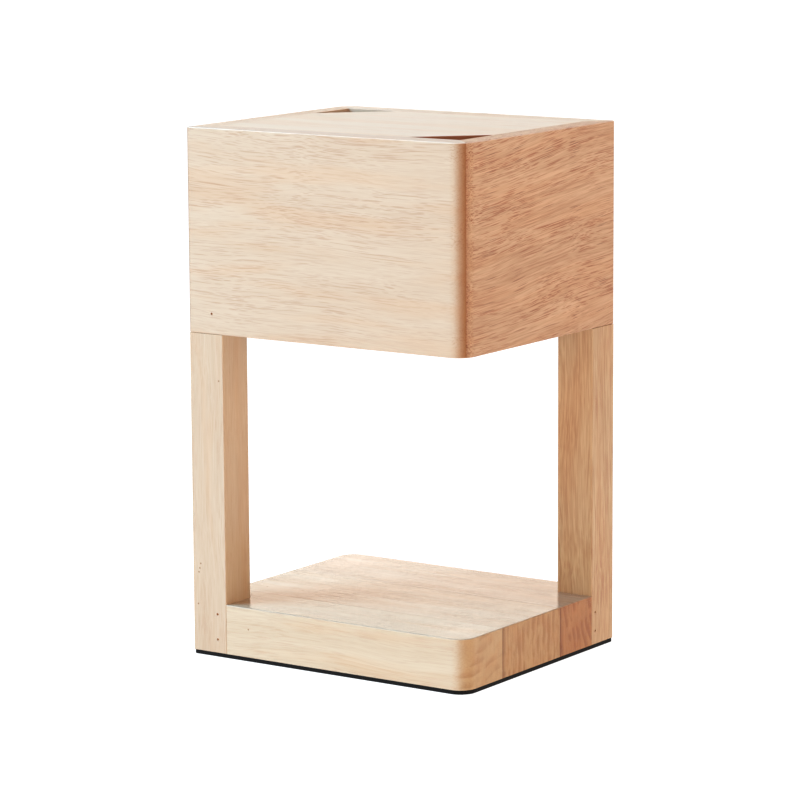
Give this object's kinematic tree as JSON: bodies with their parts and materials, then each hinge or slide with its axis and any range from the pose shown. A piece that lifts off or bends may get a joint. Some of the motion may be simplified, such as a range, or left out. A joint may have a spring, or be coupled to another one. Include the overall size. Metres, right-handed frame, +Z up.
{
  "type": "umbrella stand",
  "caption": "Compact wooden umbrella stand: a mitred box with two triangular corner openings, held on two diagonal posts above a thick slab with a rubber pad.",
  "frame": {"origin": "centre of the footprint at the underside of the rubber pad, where the stand meets the floor", "axes": "+Z up, +X along the front towards the right, -Y out of the front panel"},
  "size_m": [0.24, 0.2, 0.39],
  "materials": {
    "front_panel_wood": "satin, fine horizontal grain",
    "right_panel_wood": "satin, fine horizontal grain",
    "back_panel_wood": "satin, fine horizontal grain",
    "left_panel_wood": "satin, fine horizontal grain",
    "top_panel_wood": "satin, fine grain along the width",
    "front_left_post_wood": "satin, upright grain",
    "back_right_post_wood": "satin, upright grain",
    "front_stave_wood": "satin, grain along the width",
    "middle_stave_wood": "satin, grain along the width",
    "rear_stave_wood": "satin, grain along the width",
    "cleat_wood": "sawn",
    "black_rubber": "matte",
    "brown_steel": "dull brown",
    "zinc_steel": "zinc plated"
  },
  "bodies": {
    "root": {"front_panel": "front_panel_wood", "right_panel": "right_panel_wood", "back_panel": "back_panel_wood", "left_panel": "left_panel_wood", "top_panel": "top_panel_wood", "front_left_post": "front_left_post_wood", "back_right_post": "back_right_post_wood", "front_base_stave": "front_stave_wood", "middle_base_stave": "middle_stave_wood", "rear_base_stave": "rear_stave_wood", "base_pad": "black_rubber", "front_left_foot_brads": "brown_steel", "back_right_foot_brads": "brown_steel", "box_brads": "brown_steel", "front_top_cleat": "cleat_wood", "back_top_cleat": "cleat_wood", "cleat_wall_screws": "zinc_steel", "cleat_top_screws": "zinc_steel"}
  },
  "joints": []
}
